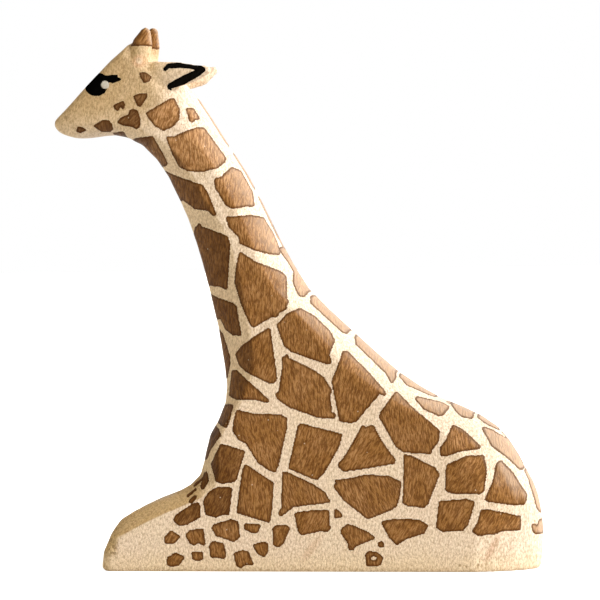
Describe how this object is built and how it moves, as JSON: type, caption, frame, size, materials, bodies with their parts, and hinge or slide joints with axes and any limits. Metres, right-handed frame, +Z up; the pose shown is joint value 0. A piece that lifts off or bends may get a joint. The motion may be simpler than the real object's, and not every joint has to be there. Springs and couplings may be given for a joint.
{
  "type": "carved giraffe statue",
  "caption": "Lying giraffe figurine sawn and carved from one wood plank, with a long flat base and painted brown patches, eyes, ear lines and horn tips.",
  "frame": {"origin": "middle of the bounding box at the flat underside of the base", "axes": "+Z up, +X from the head towards the rump, +Y through the plank from the figure's left side to its right side"},
  "size_m": [0.1352, 0.0242, 0.1512],
  "materials": {
    "pale_wood": "sanded, bare or lightly oiled",
    "brown_paint": "matte brushed paint",
    "black_paint": "matte brushed paint",
    "white_paint": "matte brushed paint"
  },
  "bodies": {
    "root": {"carved_body": "pale_wood", "left_horn_tip": "brown_paint", "right_horn_tip": "brown_paint", "left_ear_line": "black_paint", "right_ear_line": "black_paint", "left_eye": "black_paint", "right_eye": "black_paint", "left_eye_light": "white_paint", "right_eye_light": "white_paint", "left_face_spots": "brown_paint", "right_face_spots": "brown_paint", "throat_patches": "brown_paint", "left_neck_patches": "brown_paint", "right_neck_patches": "brown_paint", "chest_patches": "brown_paint", "left_shoulder_patches": "brown_paint", "right_shoulder_patches": "brown_paint", "left_flank_patches": "brown_paint", "right_flank_patches": "brown_paint", "left_rump_patches": "brown_paint", "right_rump_patches": "brown_paint", "left_leg_spots": "brown_paint", "right_leg_spots": "brown_paint", "back_patches": "brown_paint", "tail_patch": "brown_paint"}
  },
  "joints": []
}
